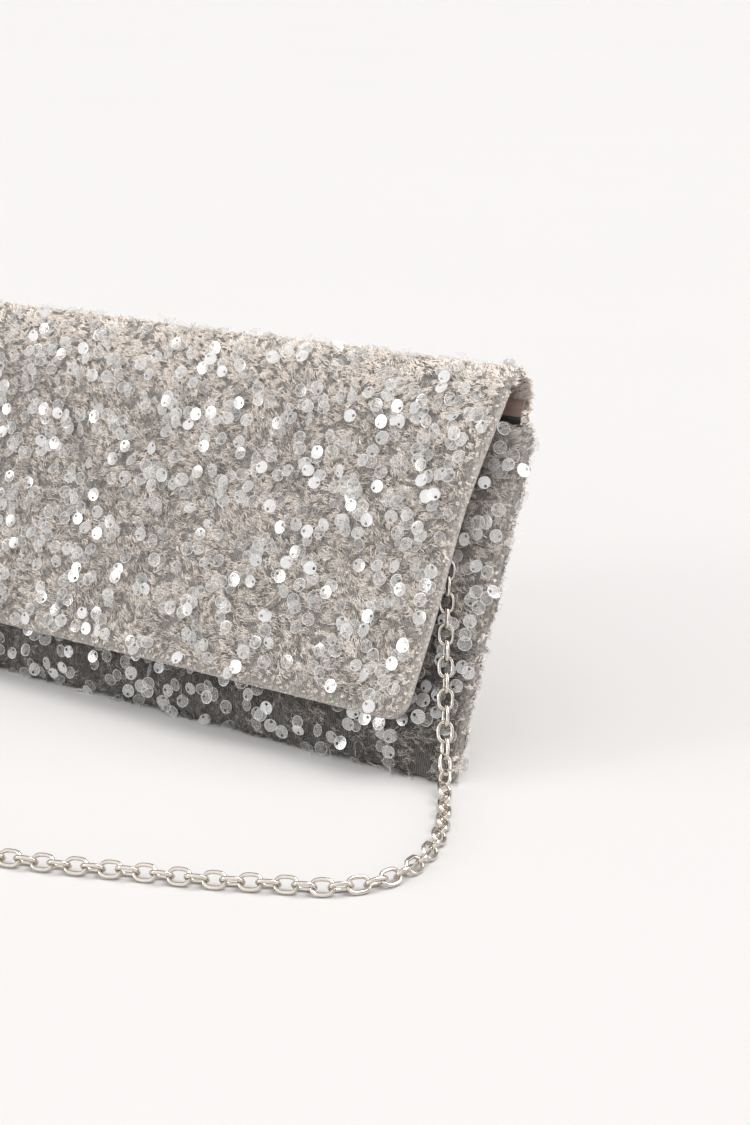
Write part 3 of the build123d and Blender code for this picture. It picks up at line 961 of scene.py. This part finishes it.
def bend(piece, part, slot, *nodes):
    """Fold cloth: bakes the piece's placing into its mesh, the rear half and the front half alike, and hides
    the given CAD parts.
    """
    if part == "rear":
        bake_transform(piece)
    else:
        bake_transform(piece)
    if nodes:
        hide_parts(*nodes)


for part, low, high, pile_seed, sequin_seed in (
    ("front", FLAP_SPLAY, CREST, 25, 33),
    ("rear", CREST, REAR_START, 26, 34),
):
    outer = arc_grid(FOLD_R, low, high, FOLD_STEPS, fold_x)
    face = outer - grid_frame(outer)[2] * edge_drop(fold_side, 1.3, 1.1)[..., None]
    height = 0.3 * lumps(face, 12.0, 9) * ease(fold_side, 0, 10)
    seam_still = np.sin(np.linspace(0, math.pi, FOLD_STEPS))[None]
    face = face + grid_frame(face)[2] * (height * seam_still)[..., None]
    inner = arc_grid(FOLD_R - SHELL, low, high, FOLD_STEPS, fold_x)
    edge = fold_side + np.zeros(face.shape[:2])
    tone = 0.85 + 0.3 * (1 - ease(edge, 0.3, 4))
    own = ("fold_panel",) if part == "front" else ()
    bend(shell(f"fold_{part}_fabric", face, inner, GROUND, {"tone": tone}), part, "pile_fabric", *own)
    patch = Patch(face, edge)
    pile = grow(f"fold_{part}_pile", patch, 12000, LIT_FIBRES, pile_seed, shade_at=top_painted_light)
    bend(pile, part, "pile_fabric")
    bend(scatter(f"fold_{part}_sequins", patch, sequin_seed, bare=3.0), part, "clear_sequin")
    for side, rim_x in (("right", TURNED_IN), ("left", -TURNED_IN[::-1])):
        turned = arc_grid(FOLD_R - SHELL, low, high, FOLD_STEPS, rim_x)[::-1]
        rim = Patch(turned, np.full(turned.shape[:2], 2.0))
        pile = grow(f"fold_{part}_rim_{side}", rim, 1300, LIT_FIBRES, 41, length=2.6, height=1.0)
        bend(pile, part, "pile_fabric")
    satin_x = spread(FOLD_HALF - 5.2, 2.5)
    satin_out = arc_grid(FOLD_R - SHELL - 0.1, low, high, FOLD_STEPS, satin_x)
    satin_in = arc_grid(FOLD_R - LAYERS, low, high, FOLD_STEPS, satin_x)
    own = ("fold_lining",) if part == "front" else ()
    bend(shell(f"fold_{part}_satin", satin_out, satin_in, SATIN_CLOTH), part, "satin_lining", *own)

# flap
flap_outer, flap_edge = flap_grid(0)
hem_deep = SHELL + 0.9 * (1 - ease(flap_edge, 1.2, 2.6))
flap_face = flap_outer - FLAP_OUT * edge_drop(flap_edge, 1.3, 1.2)[..., None]
from_fold = np.linalg.norm(flap_outer - FLAP_TOP - ALONG * flap_outer[..., :1], axis=-1)
still = ease(flap_edge, 0.5, 8) * ease(from_fold, 0, 8)
pucker = 0.4 * lumps(flap_outer, 15.0, 2) + 0.3 * lumps(flap_outer, 4.5, 5)
flap_face = flap_face + FLAP_OUT * (pucker * still)[..., None]
flap_back = flap_outer - FLAP_OUT * hem_deep[..., None]
flap_tone = 0.85 + 0.35 * (1 - ease(flap_edge, 0.6, 5)) + 0.35 * (1 - ease(flap_edge, 0.0, 1.3))
flap_fabric = shell("flap_fabric", flap_face, flap_back, GROUND, {"tone": flap_tone})
on_body(flap_fabric, "flap", "pile_fabric", "flap_panel")
for side, seed, patch in zip(("left", "right"), (27, 28), halves(flap_face, flap_edge)):
    pile = grow(f"flap_pile_{side}", patch, 48000, LIT_FIBRES, seed, worn=7.5, shade_at=top_painted_light)
    on_body(pile, "flap", "pile_fabric")
on_body(scatter("flap_sequins", Patch(flap_face, flap_edge), 35, every=40, bare=2.6), "flap", "clear_sequin")
flap_board_out, _ = flap_grid(SHELL + 0.05, 4.0)
flap_board_in, _ = flap_grid(SHELL + BOARD - 0.05, 4.0)
on_body(shell("flap_felt", flap_board_out, flap_board_in, FELT), "flap", "stiffening_board", "flap_board")
flap_satin_out, _ = flap_grid(SHELL + BOARD, 1.2)
flap_satin_in, _ = flap_grid(LAYERS, 1.2)
wrinkle = 0.12 * lumps(flap_satin_in * (1, 0.5, 0.5), 9.0, 12)
flap_satin_in = flap_satin_in - FLAP_OUT * np.abs(wrinkle)[..., None]
flap_satin = shell("flap_satin", flap_satin_out, flap_satin_in, SATIN_CLOTH)
on_body(flap_satin, "flap", "satin_lining", "flap_lining")


# boards and linings inside the bag
def inside_grid(face_y, sign, depth, half, low, high, rows=40):
    """A layer's face that far in from the outer cloth: sign is 1 in the front, -1 in the back."""
    x = spread(half, 2.6) if sign > 0 else spread(half, 2.6)[::-1]
    return np.stack([
        np.stack([x, face_y(x, z) + sign * across(depth), np.full(len(x), z)], -1)
        for z in np.linspace(low, high, rows)
    ], 1)


def wrinkled(points, amount, seed):
    """Slack satin: long soft creases running mostly up and down."""
    normal = grid_frame(points)[2]
    height = amount * np.abs(lumps(points * (1, 0.25, 0.25), 7.0, seed))
    return points - normal * height[..., None]


LINED_HALF = 125.5
for place, face_y, sign, top in (("front", front_y, 1, 109.5), ("back", back_y, -1, MOUTH_Z - 1)):
    felt_out = inside_grid(face_y, sign, SHELL + 0.05, LINED_HALF, 3.2, top - 1)
    felt_in = inside_grid(face_y, sign, SHELL + BOARD - 0.05, LINED_HALF, 3.2, top - 1)
    on_body(shell(f"{place}_felt", felt_out, felt_in, FELT), "bag", "stiffening_board", f"{place}_board")
    satin_out = inside_grid(face_y, sign, SHELL + BOARD, LINED_HALF, 2.8, top)
    satin_in = wrinkled(inside_grid(face_y, sign, LAYERS, LINED_HALF, 2.8, top), 0.35, 14 + sign)
    satin_piece = shell(f"{place}_satin", satin_out, satin_in, SATIN_CLOTH)
    on_body(satin_piece, "bag", "satin_lining", f"{place}_lining")
base_satin = shell("base_satin", lifted(base_face, 2.3), lifted(base_face, 2.8), SATIN_CLOTH)
on_body(base_satin, "bag", "satin_lining", "base_lining")

riser_x = spread(FOLD_HALF - 0.8, 2.5)[::-1]


def riser_grid(depth, low, high, rows):
    """A layer that far inside the back, between two places up the lean above the mouth."""
    return np.stack([
        leaning(0, BACK_W + depth, v) + ALONG * riser_x[:, None] for v in np.linspace(low, high, rows)
    ], 1)


RISER = (BACK_TOP_V - 2.5, FOLD_V, 8)
MOUTH_SHADE_SPAN = (124.6, 129.2, 4)
riser_satin = shell("riser_satin", riser_grid(SHELL + 0.1, *RISER), riser_grid(LAYERS, *RISER), SATIN_CLOTH)
on_body(riser_satin, "bag", "satin_lining")
# A black band on the lining above the mouth, seen in the gap under the fold: painted shade for the deep inside
# of the bag.
tape = shell("mouth_shade_band", riser_grid(LAYERS + 0.02, *MOUTH_SHADE_SPAN), riser_grid(LAYERS + 0.35, *MOUTH_SHADE_SPAN), MOUTH_SHADE_CLOTH)
on_body(tape, "bag", "ribbon_tab")

POCKET_LOW, POCKET_HIGH, POCKET_HALF = 40.0, 92.0, 55.0
pocket_out, pocket_in = (
    inside_grid(back_y, -1, LAYERS + depth, POCKET_HALF, POCKET_LOW, POCKET_HIGH, 24) for depth in (0.1, 0.6)
)
pocket_in = wrinkled(pocket_in, 0.25, 17)
on_body(shell("pocket_satin", pocket_out, pocket_in, SATIN_CLOTH), "bag", "satin_lining", "slip_pocket")

# ---- finishes of the CAD pieces that stay as they are ----
FINISHES = {
    NICKEL: ("snap_socket", "snap_stud", "right_d_ring", "left_d_ring", "right_jump_ring", "left_jump_ring"),
    STEEL: ("snap_magnet", "socket_washer", "stud_washer"),
    GROSGRAIN: ("right_ring_tab", "left_ring_tab"),
}
for material, names in FINISHES.items():
    for name in names:
        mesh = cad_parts[name].data
        mesh.materials.clear()
        mesh.materials.append(material)

# ---- floor and light ----
FLOOR_HALF = 60.0
floor_points = np.array([(-1, -1, 0), (1, -1, 0), (1, 1, 0), (-1, 1, 0)], float) * FLOOR_HALF / MM
floor_material, floor_shader = new_material("floor", Roughness=0.85, Specular_IOR_Level=0.2)
paper = ramp(
    floor_material, object_noise(floor_material, 1.5, 2),
    (0.2, (0.635, 0.623, 0.616)), (0.8, (0.645, 0.633, 0.626)),
)
join(floor_material, paper, floor_shader.inputs["Base Color"])
floor = new_mesh("floor", floor_points, np.array([[0, 1, 2, 3]]), [floor_material])


def sun(name, towards, strength, spread_angle, colour=(1, 1, 1)):
    """A distant soft light that comes from the given direction."""
    light = bpy.data.lights.new(name, "SUN")
    light.energy, light.angle, light.color = strength, math.radians(spread_angle), colour
    lamp = bpy.data.objects.new(name, light)
    lamp.rotation_mode = "QUATERNION"
    lamp.rotation_quaternion = (-Vector(towards)).to_track_quat("-Z", "Y")
    bpy.context.scene.collection.objects.link(lamp)


sun("overhead", (0.3, 0.27, 0.91), 2.1, 36, (1.0, 0.99, 0.975))
sun("front_fill", (-0.12, -0.66, 0.68), 1.55, 100, (1.0, 0.99, 0.975))
sun("front_card", (-0.61, -0.72, 0.34), 0.5, 14)
sun("rim", (0.8, 0.35, 0.5), 0.8, 35)

world = bpy.data.worlds.new("studio")
world.use_nodes = True
sky = add_node(world, "TexCoord")
height = add_node(world, "SeparateXYZ")
join(world, sky.outputs["Generated"], height.inputs["Vector"])
glow = ramp(
    world, height.outputs["Z"],
    (0.0, (0.88, 0.87, 0.86)), (0.10, (0.84, 0.83, 0.82)),
    (0.30, (0.34, 0.34, 0.35)), (1.0, (0.34, 0.34, 0.35)),
)
join(world, glow, world.node_tree.nodes["Background"].inputs["Color"])
bpy.context.scene.world = world
bpy.context.scene.view_settings.view_transform = "Standard"
